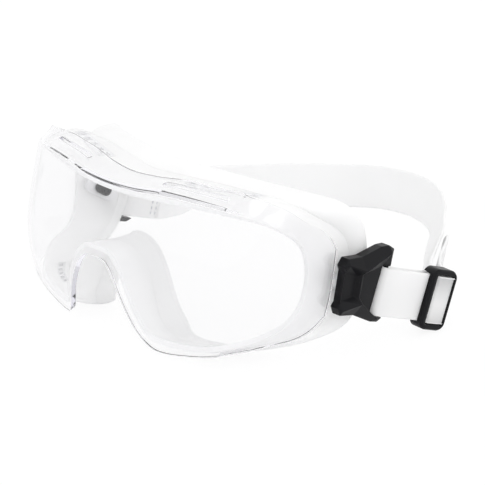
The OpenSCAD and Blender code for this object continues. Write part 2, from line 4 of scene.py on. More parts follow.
import bmesh
import bpy
import numpy as np
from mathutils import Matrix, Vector


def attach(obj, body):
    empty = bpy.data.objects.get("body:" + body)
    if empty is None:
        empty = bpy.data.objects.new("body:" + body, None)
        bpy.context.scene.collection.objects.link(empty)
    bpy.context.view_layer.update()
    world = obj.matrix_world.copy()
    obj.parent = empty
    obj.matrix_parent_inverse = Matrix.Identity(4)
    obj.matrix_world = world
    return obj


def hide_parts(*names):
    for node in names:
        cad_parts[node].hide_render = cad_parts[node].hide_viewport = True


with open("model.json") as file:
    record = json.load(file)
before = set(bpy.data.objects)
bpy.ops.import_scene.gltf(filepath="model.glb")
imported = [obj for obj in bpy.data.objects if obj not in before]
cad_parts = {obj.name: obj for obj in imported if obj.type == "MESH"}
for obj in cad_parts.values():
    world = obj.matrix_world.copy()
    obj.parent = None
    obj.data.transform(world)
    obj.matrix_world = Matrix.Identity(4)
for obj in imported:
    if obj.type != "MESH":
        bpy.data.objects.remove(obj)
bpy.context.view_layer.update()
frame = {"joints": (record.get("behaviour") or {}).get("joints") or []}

JOINT = {joint["name"]: joint for joint in frame["joints"]}

# === Table, light and camera ==========================================================
# A plain white table top under soft studio light. The pale object is lit mostly by the
# room, with two soft boxes for the highlights on the black fittings.

scene = bpy.context.scene
scene.view_settings.view_transform = "Standard"


def linear(hex_code):
    """Turns an sRGB hex colour into linear light: straight near black, a power of 2.4 above it."""
    srgb = np.array([int(hex_code[i:i + 2], 16) / 255 for i in (1, 3, 5)])
    light = np.where(srgb <= 0.04045, srgb / 12.92, ((srgb + 0.055) / 1.055) ** 2.4)
    return (*light, 1.0)


def add(tree, kind, settings=None, **links):
    """Adds one shader node. settings go to its attributes or its sockets, links to its inputs."""
    node = tree.nodes.new("ShaderNode" + kind)
    for name, value in (settings or {}).items():
        if isinstance(name, int) or name in node.inputs:
            node.inputs[name].default_value = value
        else:
            setattr(node, name, value)
    for name, source in links.items():
        socket = int(name[1:]) if name[0] == "i" and name[1:].isdigit() else name.replace("_", " ")
        tree.links.new(source, node.inputs[socket])
    return node


def new_material(name):
    """An empty node material with its output node."""
    material = bpy.data.materials.new(name)
    material.use_nodes = True
    material.node_tree.nodes.clear()
    return material, material.node_tree, material.node_tree.nodes.new("ShaderNodeOutputMaterial")


def mesh_piece(name, points, faces, material, smooth=True):
    """A mesh object at the origin from points in metres and faces as lists of corner numbers."""
    mesh = bpy.data.meshes.new(name)
    mesh.from_pydata(np.asarray(points).reshape(-1, 3).tolist(), [], [list(map(int, f)) for f in faces])
    mesh.validate()
    mesh.update()
    mesh.shade_smooth() if smooth else mesh.shade_flat()
    piece = bpy.data.objects.new(name, mesh)
    scene.collection.objects.link(piece)
    piece.data.materials.append(material)
    return piece


def larger(tree, first, second):
    """Adds the node that passes on the larger of two values."""
    return add(tree, "Math", {"operation": "MAXIMUM"}, i0=first, i1=second)


# White laminate: it shows as plain white, and keeps a faint shadow of what stands on it
white_top, tree, output = new_material("white_laminate")
path = add(tree, "LightPath")
seen = larger(tree, path.outputs["Is Camera Ray"], path.outputs["Is Transmission Ray"])
seen = larger(tree, seen.outputs[0], path.outputs["Is Glossy Ray"])
share = add(tree, "Math", {"operation": "MULTIPLY", 1: 0.9}, i0=seen.outputs[0])
lit = add(tree, "BsdfDiffuse", {"Color": linear("#FCFCFD")})
plain = add(tree, "Emission", {"Color": (1, 1, 1, 1), "Strength": 1.0})
mixed = add(tree, "MixShader", None, i0=share.outputs[0], i1=lit.outputs[0], i2=plain.outputs[0])
tree.links.new(mixed.outputs[0], output.inputs["Surface"])
TABLE_HALF = 4.0
corners = [(x * TABLE_HALF, y * TABLE_HALF, 0) for x, y in ((-1, -1), (1, -1), (1, 1), (-1, 1))]
table = mesh_piece("table_top", corners, [(0, 1, 2, 3)], white_top, smooth=False)

world = bpy.data.worlds.new("studio")
world.use_nodes = True
scene.world = world
tree = world.node_tree
tree.nodes.clear()
path = add(tree, "LightPath")
where = add(tree, "TexCoord")
split = add(tree, "SeparateXYZ", None, Vector=where.outputs["Generated"])
# The room is light at the horizon and a little darker overhead and low down
band = add(tree, "ValToRGB", None, Fac=split.outputs["Z"])
band.color_ramp.elements[0].position = 0.0
band.color_ramp.elements[0].color = linear("#FBFBFB")
band.color_ramp.elements[1].position = 1.0
band.color_ramp.elements[1].color = linear("#F0F0F0")
middle = band.color_ramp.elements.new(0.35)
middle.color = linear("#F8F8F8")
room = add(tree, "Background", {"Strength": 1.22}, Color=band.outputs["Color"])
backdrop = add(tree, "Background", {"Color": (1, 1, 1, 1), "Strength": 1.0})
seen = larger(tree, path.outputs["Is Camera Ray"], path.outputs["Is Transmission Ray"])
both = add(tree, "MixShader", None, i0=seen.outputs[0], i1=room.outputs[0], i2=backdrop.outputs[0])
output = tree.nodes.new("ShaderNodeOutputWorld")
tree.links.new(both.outputs[0], output.inputs["Surface"])


def soft_box(name, place, aim, size, watts):
    """A square area lamp at place, turned towards aim."""
    lamp = bpy.data.lights.new(name, "AREA")
    lamp.shape = "SQUARE"
    lamp.size = size
    lamp.energy = watts
    holder = bpy.data.objects.new(name, lamp)
    holder.location = place
    holder.rotation_euler = (Vector(aim) - Vector(place)).to_track_quat("-Z", "Y").to_euler()
    scene.collection.objects.link(holder)
    return holder


soft_box("key_box", (0.15, -0.55, 1.1), (0.0, 0.0, 0.03), 1.3, 3.4)
soft_box("side_box", (1.1, 0.35, 0.55), (0.06, 0.0, 0.03), 0.9, 1.7)

view = bpy.data.cameras.new("camera")
view.lens = 135.6
view.sensor_width = 36
view.shift_x = 0.0082474
view.shift_y = 0.0057732
view.clip_start = 0.01
camera = bpy.data.objects.new("camera", view)
camera.location = (0.5390, -0.5204, 0.3027)
toward = Vector((-0.687, 0.632, -0.358))
camera.rotation_euler = toward.to_track_quat("-Z", "Y").to_euler()
scene.collection.objects.link(camera)
scene.camera = camera

# === Lens =============================================================================
# One moulding of clear polycarbonate, 2.2 mm thick: a wide front, two tight bends into
# the wings and a brow shelf bent back at a crease, with a vent slot over each eye.

MM = 0.001
PITCH = np.radians(11.1)
PIVOT_Y, PIVOT_Z = 64.2, -0.6
hinge = np.array(JOINT["band_swivel"]["pos_m"]) / MM


def to_row(points):
    """Turns points of the goggle, in mm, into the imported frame: leans them back about the pivot line."""
    p = np.asarray(points, float)
    y = (p[..., 1] - PIVOT_Y) * np.cos(PITCH) + (p[..., 2] - PIVOT_Z) * np.sin(PITCH)
    z = -(p[..., 1] - PIVOT_Y) * np.sin(PITCH) + (p[..., 2] - PIVOT_Z) * np.cos(PITCH)
    return np.stack([p[..., 0] + hinge[0], y + hinge[1], z + hinge[2]], -1) * MM


def unit(vectors):
    return vectors / np.linalg.norm(vectors, axis=-1, keepdims=True)


def through(rows, u):
    """Cubic through rows of [position, values...], even about 0, with the slopes of its chords."""
    rows = np.array(rows, float)
    x, y = rows[:, 0], rows[:, 1:]
    slope = np.zeros_like(y)
    slope[1:-1] = (y[2:] - y[:-2]) / (x[2:] - x[:-2])[:, None]
    slope[-1] = (y[-1] - y[-2]) / (x[-1] - x[-2])
    u = np.abs(u)
    i = np.clip(np.searchsorted(x, u, side="right") - 1, 0, len(x) - 2)
    h = (x[i + 1] - x[i])[..., None]
    t = (u - x[i])[..., None] / h
    return (
        y[i] * (2 * t**3 - 3 * t**2 + 1) + slope[i] * h * (t**3 - 2 * t**2 + t)
        + y[i + 1] * (3 * t**2 - 2 * t**3) + slope[i + 1] * h * (t**3 - t**2)
    )


FRONT_R, FRONT_HALF, CORNER_R, WING = 150, 60, 24, np.radians(86)
FRONT = np.arcsin(FRONT_HALF / FRONT_R)
FRONT_LEN = FRONT_R * FRONT
BEND_LEN = CORNER_R * (WING - FRONT)
BEND_X = FRONT_HALF - CORNER_R * np.sin(FRONT)
BEND_Y = FRONT_R - FRONT_R * np.cos(FRONT) + CORNER_R * np.cos(FRONT)
LENS_T = 2.2
LENS_END = 114
LENS_LOW = [
    (0, -6.5), (6, -7.2), (10.5, -11.5), (16, -21.5), (22, -32.3), (28, -38), (35, -38.8), (46, -37),
    (57, -34.5), (70, -30.4), (86, -26.6), (100, -24.6), (105, -23), (109.5, -20), (114, -14.5),
]
LENS_CREASE = [
    (0, 25.2), (16, 25.8), (31, 27.4), (50, 27.6), (65, 26.8), (77, 24.6), (89, 19.6), (99, 13.2),
    (106, 10), (114, 7.5),
]
LENS_RIM = [
    (0, 28.5, 14), (16, 29.5, 14), (31, 31.3, 14), (45, 31.8, 13.5), (58, 32.2, 12), (67, 32.5, 7.5),
    (75, 32.2, 3.6), (82, 30.8, 1.6), (88, 28.8, 0.6), (93, 26.3, 0.2), (97, 24.3, 0), (104, 21.8, 0),
    (108, 19.6, 0), (111, 17.4, 0), (114, 13.5, 0),
]


def lens_at(s, z, depth=0.0):
    """Point of the lens face at arc length s and height z: a wide arc, a tight bend and a straight
    wing in plan, pulled back along the plan's normal by the sag of a circle and by depth."""
    s, z, depth = np.broadcast_arrays(np.asarray(s, float), np.asarray(z, float), np.asarray(depth, float))
    t = np.abs(s)
    front = t < FRONT_LEN
    angle = np.where(front, t / FRONT_R, np.minimum(FRONT + (t - FRONT_LEN) / CORNER_R, WING))
    past = np.maximum(t - FRONT_LEN - BEND_LEN, 0)
    x = np.where(front, FRONT_R * np.sin(angle), BEND_X + CORNER_R * np.sin(angle)) + past * np.cos(WING)
    y = np.where(front, FRONT_R * (1 - np.cos(angle)), BEND_Y - CORNER_R * np.cos(angle))
    y = y + past * np.sin(WING)
    radius = np.where(z > -2, 320.0, 65.0)
    sag = radius - np.sqrt(radius**2 - (z + 2) ** 2) + depth
    side = np.where(s < 0, -1, 1)
    return np.stack([side * (x - np.sin(angle) * sag), y + np.cos(angle) * sag, z], -1)


def lens_profile(s, j):
    """The lens at arc length s: j is 0 at the lower edge, 1 at the crease and 2 at the rim."""
    low, crease, rim = through(LENS_LOW, s)[..., 0], through(LENS_CREASE, s)[..., 0], through(LENS_RIM, s)
    face = lens_at(s, low + (crease - low) * np.minimum(j, 1))
    back = np.maximum(j - 1, 0)
    shelf = lens_at(s, crease + (rim[..., 0] - crease) * back, np.maximum(rim[..., 1], 0) * back)
    return np.where((j <= 1)[..., None], face, shelf)


def grid_normals(p):
    """Unit normals of a grid of points, from its differences along columns and rows."""
    return unit(np.cross(np.gradient(p, axis=1), np.gradient(p, axis=0)))


def softened(p, passes, low, high):
    """Rounds a grid between two rows: each becomes a quarter, half, quarter mix with its neighbours."""
    p = p.copy()
    for _ in range(passes):
        p[low:high] = 0.25 * p[low - 1:high - 1] + 0.5 * p[low:high] + 0.25 * p[low + 1:high + 1]
    return p


def slab(front, back, keep=None, loop=False):
    """Closed shell between two grids of points, front facing out, with walls along every border.
    keep marks the cells that are there, so a hole gets its own walls. With loop, columns close up."""
    rows, cols = front.shape[:2]
    last = cols if loop else cols - 1
    keep = np.ones((rows - 1, last), bool) if keep is None else keep
    i, j = np.nonzero(keep)
    right = (j + 1) % cols

    def at(side, r, c):
        return side * rows * cols + r * cols + c

    faces = [
        np.stack([at(0, i, j), at(0, i, right), at(0, i + 1, right), at(0, i + 1, j)], 1),
        np.stack([at(1, i, j), at(1, i + 1, j), at(1, i + 1, right), at(1, i, right)], 1),
    ]
    padded = np.zeros((rows + 1, last + 2), bool)
    padded[1:-1, 1:-1] = keep
    if loop:
        padded[1:-1, 0], padded[1:-1, -1] = keep[:, -1], keep[:, 0]
    for gone, (a, b) in {
        "low": ((i, j), (i, right)), "right": ((i, right), (i + 1, right)),
        "high": ((i + 1, right), (i + 1, j)), "left": ((i + 1, j), (i, j)),
    }.items():
        step = {"low": (-1, 0), "right": (0, 1), "high": (1, 0), "left": (0, -1)}[gone]
        open_side = ~padded[i + 1 + step[0], j + 1 + step[1]]
        wall = np.stack([at(0, *b), at(0, *a), at(1, *a), at(1, *b)], 1)
        faces.append(wall[open_side])
    return np.concatenate([front.reshape(-1, 3), back.reshape(-1, 3)]), np.concatenate(faces)


def finish_edges(piece, width, angle=50, segments=3):
    """Rounds the sharp edges of a piece, and drops the points that no face uses."""
    edit = bmesh.new()
    edit.from_mesh(piece.data)
    bmesh.ops.delete(edit, geom=[v for v in edit.verts if not v.link_faces], context="VERTS")
    edit.to_mesh(piece.data)
    edit.free()
    bevel = piece.modifiers.new("rounded_edges", "BEVEL")
    bevel.width = width * MM
    bevel.segments = segments
    bevel.limit_method = "ANGLE"
    bevel.angle_limit = np.radians(angle)
    bevel.harden_normals = False
    return piece


# Injection-moulded polycarbonate: clear, with a lilac cast where the eye looks along the
# sheet, and a faint haze of handling that shows only in its reflections
polycarbonate, tree, output = new_material("clear_polycarbonate")
place = add(tree, "TexCoord")
haze = add(tree, "TexNoise", {"Scale": 60.0, "Detail": 4.0}, Vector=place.outputs["Object"])
gloss = add(tree, "MapRange", {
    "From Min": 0.35, "From Max": 0.75, "To Min": 0.015, "To Max": 0.05,
}, Value=haze.outputs["Fac"])
clear = add(tree, "BsdfPrincipled", {
    "Base Color": linear("#FDFDFD"), "IOR": 1.56, "Transmission Weight": 1.0,
}, Roughness=gloss.outputs["Result"])
open_air = add(tree, "BsdfTransparent", {"Color": linear("#FDFDFD")})
path = add(tree, "LightPath")
to_lamp = larger(tree, path.outputs["Is Shadow Ray"], path.outputs["Is Diffuse Ray"])
# A ray caught between the two faces leaves after a few turns, so no edge goes black
trapped = add(tree, "Math", {"operation": "GREATER_THAN", 1: 5.5}, i0=path.outputs["Ray Depth"])
to_lamp = larger(tree, to_lamp.outputs[0], trapped.outputs[0])
mixed = add(tree, "MixShader", None, i0=to_lamp.outputs[0], i1=clear.outputs[0], i2=open_air.outputs[0])
tree.links.new(mixed.outputs[0], output.inputs["Surface"])
depth = add(tree, "VolumeAbsorption", {"Color": linear("#CFCDDC"), "Density": 18.0})
tree.links.new(depth.outputs[0], output.inputs["Volume"])

SLOT_FROM, SLOT_TO, SLOT_MID, SLOT_W = 25, 57, 1.55, 2.0
slot_half = SLOT_W / through(LENS_RIM, np.array(SLOT_FROM))[1] / 2
slot_low, slot_high = SLOT_MID - slot_half, SLOT_MID + slot_half
levels = np.concatenate([
    np.linspace(0, 0.95, 46),
    [0.962, 0.974, 0.983, 0.991, 1.0, 1.022, 1.048, 1.078, 1.115, 1.16, 1.22, 1.3, 1.39],
    np.linspace(slot_low, slot_high, 3), [1.7, 1.78, 1.86, 1.93, 2.0],
])
slot_ends = [-SLOT_FROM, SLOT_FROM, -SLOT_TO, SLOT_TO]
arc = np.unique(np.concatenate([np.linspace(-LENS_END, LENS_END, 305), slot_ends]))
s_grid, j_grid = np.meshgrid(arc, levels)
sheet_out = lens_profile(s_grid, j_grid)
crease_row = int(np.argmin(np.abs(levels - 1)))
sheet_out = softened(sheet_out, 6, crease_row - 4, crease_row + 5)
inward = softened(grid_normals(sheet_out), 14, crease_row - 7, crease_row + 8)
sheet_in = softened(sheet_out - unit(inward) * LENS_T, 8, crease_row - 7, crease_row + 8)
cell_s = np.abs((s_grid[1:, 1:] + s_grid[1:, :-1]) / 2)
cell_j = (j_grid[1:, 1:] + j_grid[:-1, 1:]) / 2
in_slot = (cell_s > SLOT_FROM) & (cell_s < SLOT_TO) & (cell_j > slot_low) & (cell_j < slot_high)
points, faces = slab(to_row(sheet_out), to_row(sheet_in), ~in_slot)
lens = finish_edges(mesh_piece("lens_shell", points, faces, polycarbonate), 0.5)
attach(lens, "goggle")
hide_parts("lens")

# === Frame ============================================================================
# The body between lens and face: one moulding of soft milky plastic, 2 mm thick, with
# its front edge under the lens and its rear edge in the face seal.

FRAME_FRONT = [
    (0, 23.4), (20, 24.2), (45, 25.6), (66, 25), (84, 21.2), (97, 13.6), (101.5, 0), (98.5, -14),
    (86, -23.4), (60, -31.8), (41, -35.4), (28, -34.6), (22, -27), (17, -17), (13, -10), (7, -4.6), (0, -4),
]
FRAME_MID = [
    (0, 15, 26), (19.5, 17.5, 26.6), (42, 24, 28.8), (61.5, 31, 31), (69.6, 38, 27.2), (71.6, 57, 16),
    (72.6, 58.5, 0), (70.8, 57, -15.5), (66.6, 40, -23.6), (55.5, 28, -31), (41.8, 24, -34.8),
    (27.2, 21.5, -36), (20.9, 15.5, -28), (16.5, 12.5, -18.5), (12.4, 11, -10), (7, 9, -4.4), (0, 8.5, -3),
]
NECK = [
    (0, 27, 29), (18, 30, 29.8), (39.5, 36, 30.2), (58, 41, 29.6), (68, 49, 26.6), (72, 66, 17),
    (73.6, 71, 0), (72, 65, -16.5), (66.4, 48, -25), (55, 34, -31), (42, 30.5, -34.8), (26.6, 28, -36.8),
    (20.6, 21.5, -29.5), (16.3, 20, -20.5), (12, 18.5, -10), (7, 15.5, -4.2), (0, 14.5, -2.4),
]
FRAME_T, SEAT_GAP = 2.0, 0.25


def mirrored(half):
    """A half ring of stations from brow to nose, closed by its mirrored half."""
    half = np.array(half, float)
    return np.concatenate([half, half[-2:0:-1] * (-1, 1, 1)])


def lens_seat(s, z):
    """The inner face of the lens at arc length s and height z, with the seat's gap."""
    ds = lens_at(s + 0.5, z) - lens_at(s - 0.5, z)
    dz = lens_at(s, z + 0.5) - lens_at(s, z - 0.5)
    return lens_at(s, z) - unit(np.cross(ds, dz)) * (LENS_T + SEAT_GAP)


front_rows = np.array(FRAME_FRONT, float)
front_ring = mirrored(lens_seat(front_rows[:, 0], front_rows[:, 1]))
frame_rings = [front_ring, mirrored(FRAME_MID), mirrored(NECK)]
STATIONS = len(front_ring)


def round_ring(ring, u):
    """Catmull-Rom curve round a closed ring of stations, at station number u."""
    u = np.mod(u, len(ring))
    i = np.floor(u).astype(int)
    t = (u - i)[..., None]
    a, b, c, d = (ring[(i + k) % len(ring)] for k in (-1, 0, 1, 2))
    return 0.5 * (
        a * (-t + 2 * t**2 - t**3) + b * (2 - 5 * t**2 + 3 * t**3)
        + c * (t + 4 * t**2 - 3 * t**3) + d * (t**3 - t**2)
    )


def wall(rings, u, w):
    """A wall through three rings: round them by station u, and across by the parabola w from 0 to 1."""
    near, middle, far = (round_ring(ring, u) for ring in rings)
    w = np.asarray(w, float)[..., None]
    return near * (1 - w) * (1 - 2 * w) + middle * 4 * w * (1 - w) + far * w * (2 * w - 1)


def wall_normal(rings, u, w):
    du = wall(rings, u + 0.05, w) - wall(rings, u - 0.05, w)
    dw = wall(rings, u, w + 0.02) - wall(rings, u, w - 0.02)
    return unit(np.cross(du, dw))


def wall_shell(rings, u, w, outer, inner, keep=None, loop=True):
    """Shell of a wall on a grid of stations u and shares w, from outer to inner mm under its face."""
    u_grid, w_grid = np.meshgrid(u, w)
    face, normal = wall(rings, u_grid, w_grid), wall_normal(rings, u_grid, w_grid)
    return slab(to_row(face - normal * outer), to_row(face - normal * np.asarray(inner)), keep, loop)


def milky(name, colour, behind, roughness, grain_mm, through_share):
    """Milky soft plastic or elastomer: a diffuse body with a sheen broken by the fine grain of the
    mould, mixed with a share of the light that comes through from behind."""
    material, tree, output = new_material(name)
    place = add(tree, "TexCoord")
    cloud = add(tree, "TexNoise", {"Scale": 45.0, "Detail": 3.0}, Vector=place.outputs["Object"])
    tint = add(tree, "MapRange", {
        "From Min": 0.3, "From Max": 0.7, "To Min": 0.0, "To Max": 1.0,
    }, Value=cloud.outputs["Fac"])
    body_colour = add(tree, "Mix", {
        "data_type": "RGBA", 6: linear(colour[0]), 7: linear(colour[1]),
    }, i0=tint.outputs["Result"])
    grain = add(tree, "TexNoise", {
        "Scale": 1 / (grain_mm * MM), "Detail": 2.0,
    }, Vector=place.outputs["Object"])
    bump = add(tree, "Bump", {"Strength": 0.12, "Distance": 0.0002}, Height=grain.outputs["Fac"])
    sheen = add(tree, "MapRange", {
        "To Min": roughness - 0.05, "To Max": roughness + 0.08,
    }, Value=cloud.outputs["Fac"])
    body = add(
        tree, "BsdfPrincipled", {"IOR": 1.42},
        Base_Color=body_colour.outputs[2], Roughness=sheen.outputs["Result"], Normal=bump.outputs["Normal"],
    )
    glow = add(tree, "BsdfTranslucent", {"Color": linear(behind)})
    mixed = add(tree, "MixShader", {0: through_share}, i1=body.outputs[0], i2=glow.outputs[0])
    tree.links.new(mixed.outputs[0], output.inputs["Surface"])
    return material


frame_plastic = milky("milky_soft_vinyl", ("#F9F9F9", "#F6F6F6"), "#FAFAFA", 0.22, 0.6, 0.5)

UPPER_VENT, LOWER_VENT = (1.25, 2.75), (8.7, 9.7)
VENT_LOW, VENT_HIGH = 0.47, 0.77
spans = [span for a, b in (UPPER_VENT, LOWER_VENT) for span in ((a, b), (STATIONS - b, STATIONS - a))]
stations = np.unique(np.concatenate([np.arange(0, STATIONS, 1 / 16), np.array(spans).ravel()]))
across = np.concatenate([
    np.linspace(0.012, VENT_LOW, 12), np.linspace(VENT_LOW, VENT_HIGH, 8)[1:],
    np.linspace(VENT_HIGH, 1, 7)[1:],
])
mid_u = (stations + np.append(stations[1:], STATIONS)) / 2
mid_w = (across[1:] + across[:-1]) / 2
window = np.zeros((len(across) - 1, len(stations)), bool)
for a, b in spans:
    window |= ((mid_w > VENT_LOW) & (mid_w < VENT_HIGH))[:, None] & ((mid_u > a) & (mid_u < b))[None, :]
points, faces = wall_shell(frame_rings, stations, across, 0.0, FRAME_T, ~window)
frame_body = finish_edges(mesh_piece("frame_body", points, faces, frame_plastic), 0.4)
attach(frame_body, "goggle")
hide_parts("frame")

# === Face seal ========================================================================
# The soft lip that lies on the face, moulded round the frame's rear edge and thinning
# towards its rolled rim.

SEAL_MID = [
    (0, 30, 31.4), (18, 34.5, 32), (40, 41, 32.2), (59, 48, 31.8), (71.5, 55, 28.8), (74.4, 70, 18.8),
    (74.8, 74.5, 0), (74, 70, -17.4), (68, 56, -26.6), (55, 41.5, -33), (41.8, 36, -36.4), (26.8, 33, -37),
    (21.4, 27.5, -29.5), (17, 25, -20.8), (12.2, 23.5, -9.6), (7, 21, -2.8), (0, 20, -0.8),
]
SEAL_TIP = [
    (0, 34.6, 34), (18, 40.5, 33.3), (40, 47.5, 33), (59.5, 57, 32.4), (72.5, 63.5, 30.6), (75, 74, 20.6),
    (74.6, 78.5, 0.6), (74, 74, -17.6), (67.4, 62, -26.2), (55, 48.5, -32.8), (42, 41.5, -35.8),
    (27, 37.5, -36.2), (22, 34, -29.5), (17.4, 31, -21), (12.2, 28.5, -9.2), (7, 26.5, -1.6),
    (0, 25.6, 0.6),
]
SEAL_T = 1.8
seal_rings = [mirrored(NECK), mirrored(SEAL_MID), mirrored(SEAL_TIP)]
seal_rubber = milky("milky_silicone", ("#F9F9F9", "#F6F6F6"), "#F9F9F9", 0.42, 0.5, 0.4)
across = np.linspace(0.0, 1, 22)
# The rim is rolled: its last two millimetres swell inwards
thick = SEAL_T * (1 - 0.3 * across) + 0.7 * np.exp(-((1 - across) / 0.07) ** 2)
around = np.arange(0, STATIONS, 1 / 16)
points, faces = wall_shell(seal_rings, around, across, 0.0, thick[:, None, None])
seal = finish_edges(mesh_piece("face_seal_lip", points, faces, seal_rubber), 0.55)
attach(seal, "goggle")
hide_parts("face_seal")

# === Vents ============================================================================
# Louvred inserts that snap into the windows of the frame, over the brow and under the
# cheeks. They are the clearer, harder plastic.

vent_plastic = milky("clear_vent_plastic", ("#F6F6F7", "#F2F2F3"), "#F5F5F6", 0.2, 0.5, 0.45)
LOUVRES, LOUVRE_MID, LOUVRE_HALF = 5, 0.62, 0.085
INSERT_PROUD, INSERT_DEPTH = 0.2, 1.6
for name, span in (("upper_vent", UPPER_VENT), ("lower_vent", LOWER_VENT)):
    for side in ("left", "right"):
        step = (span[1] - span[0]) / LOUVRES
        gaps = [(span[0] + step * (k + 0.2), span[0] + step * (k + 0.8)) for k in range(LOUVRES)]
        u = np.unique(np.concatenate([np.linspace(*span, 31), np.array(gaps).ravel()]))
        w = np.linspace(VENT_LOW + 0.004, VENT_HIGH - 0.004, 11)
        if side == "right":
            u = STATIONS - u[::-1]
            gaps = [(STATIONS - b, STATIONS - a) for a, b in gaps]
        mid_u, mid_w = (u[1:] + u[:-1]) / 2, (w[1:] + w[:-1]) / 2
        gone = np.zeros((len(w) - 1, len(u) - 1), bool)
        for a, b in gaps:
            tall = np.abs(mid_w - LOUVRE_MID) < LOUVRE_HALF
            gone |= tall[:, None] & ((mid_u > a) & (mid_u < b))[None, :]
        points, faces = wall_shell(frame_rings, u, w, -INSERT_PROUD, INSERT_DEPTH, ~gone, loop=False)
        vent = mesh_piece(f"{name}_{side}_louvres", points, faces, vent_plastic)
        finish_edges(vent, 0.15, segments=2)
        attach(vent, "goggle")
        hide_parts(f"{name}_{side}")

# === Pivot clips ======================================================================
# Inside each temple a clip arm carries the pin that the buckle turns on. The arm is clear
# like the frame, and a black button holds its front end to the wall.

TEMPLE_X, CLIP_IN, CLIP_T, CLIP_H, CLIP_LEN, CLIP_RISE = 75.6, 7.6, 2.0, 6.4, 16.0, np.radians(22)
PIN_R, PIN_PAST = 3.0, 2.6
BUTTON_R, BUTTON_HALF, BUTTON_PROUD, BUTTON_AT = 2.6, 1.9, 1.8, (-6.6, 0.6)
BUCKLE_X = TEMPLE_X + 1.4
clip_x = TEMPLE_X - CLIP_IN


def prism(outline, low, high):
    """Closed prism from x low to x high, on (y, z) points that run anticlockwise seen from +X."""
    count = len(outline)
    ends = [np.column_stack([np.full(count, x), outline]) for x in (low, high)]
    k = np.arange(count)
    sides = np.stack([k, (k + 1) % count, (k + 1) % count + count, k + count], 1)
    return np.concatenate(ends), [list(k[::-1]), list(k + count), *sides.tolist()]


def round_outline(centre, radius, steps=48):
    """A circle as an outline of (y, z) points."""
    angle = np.arange(steps) * 2 * np.pi / steps
    return np.column_stack([centre[0] + radius * np.cos(angle), centre[1] + radius * np.sin(angle)])


def capsule(radius, rear, front):
    """Outline of a bar with round ends, between two (y, z) points."""
    angle = np.radians(np.arange(0, 180, 7.5))
    ends = ((rear, angle - np.pi / 2), (front, angle + np.pi / 2))
    return np.concatenate([radius * np.column_stack([np.cos(a), np.sin(a)]) + at for at, a in ends])


def joined(*parts):
    """Several closed shells as one list of points and one of faces."""
    points, faces, start = [], [], 0
    for p, f in parts:
        points.append(np.asarray(p, float))
        faces += [[int(c) + start for c in face] for face in f]
        start += len(p)
    return np.concatenate(points), faces


def on_side(points, faces, side):
    """The left side's points as they are, or mirrored with their faces turned round."""
    if side == "left":
        return points, faces
    return points * (-1, 1, 1), [list(face)[::-1] for face in faces]


def satin_black(name, grain_mm):
    """Satin ABS, moulded black: a soft grey sheen from the fine spark-eroded grain of the mould."""
    material, tree, output = new_material(name)
    place = add(tree, "TexCoord")
    grain = add(tree, "TexNoise", {
        "Scale": 1 / (grain_mm * MM), "Detail": 3.0, "Roughness": 0.6,
    }, Vector=place.outputs["Object"])
    patch = add(tree, "TexNoise", {"Scale": 160.0, "Detail": 3.0}, Vector=place.outputs["Object"])
    tone = add(tree, "Mix", {
        "data_type": "RGBA", 6: linear("#0E0E10"), 7: linear("#161619"),
    }, i0=patch.outputs["Fac"])
    gloss = add(tree, "MapRange", {
        "From Min": 0.3, "From Max": 0.7, "To Min": 0.3, "To Max": 0.42,
    }, Value=patch.outputs["Fac"])
    bump = add(tree, "Bump", {"Strength": 0.25, "Distance": 0.0001}, Height=grain.outputs["Fac"])
    body = add(
        tree, "BsdfPrincipled", {"IOR": 1.5, "Specular IOR Level": 0.12},
        Base_Color=tone.outputs[2], Roughness=gloss.outputs["Result"], Normal=bump.outputs["Normal"],
    )
    tree.links.new(body.outputs[0], output.inputs["Surface"])
    return material


black_abs = satin_black("satin_black_abs", 0.35)
lift = np.array([[np.cos(CLIP_RISE), np.sin(CLIP_RISE)], [-np.sin(CLIP_RISE), np.cos(CLIP_RISE)]])
pivot_at = np.array([PIVOT_Y, PIVOT_Z])
arm_outline = capsule(CLIP_H / 2, (0, 0), (-CLIP_LEN + CLIP_H / 2, 0)) @ lift.T + pivot_at
button_ends = [(step + BUTTON_AT[0], BUTTON_AT[1]) for step in (BUTTON_HALF, -BUTTON_HALF)]
button_outline = capsule(BUTTON_R, *button_ends) @ lift.T + pivot_at
for side in ("left", "right"):
    arm = prism(arm_outline, clip_x, clip_x + CLIP_T)
    pin = prism(round_outline(pivot_at, PIN_R), clip_x + CLIP_T - 0.1, BUCKLE_X + PIN_PAST)
    points, faces = on_side(*joined(arm, pin), side)
    clip = mesh_piece(f"pivot_clip_{side}_arm", to_row(points), faces, vent_plastic)
    finish_edges(clip, 0.3, angle=40)
    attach(clip, "goggle")
    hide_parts(f"pivot_clip_{side}")
    points, faces = on_side(*prism(button_outline, clip_x - BUTTON_PROUD, clip_x), side)
    button = mesh_piece(f"clip_button_{side}", to_row(points), faces, black_abs)
    finish_edges(button, 0.6, angle=40)
    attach(button, "goggle")

# === Buckles ==========================================================================
# Black bow-tie plates that turn on the pins: two ridges run from the horns over the
# middle to the fins, and the band loops round a bar between the fins.

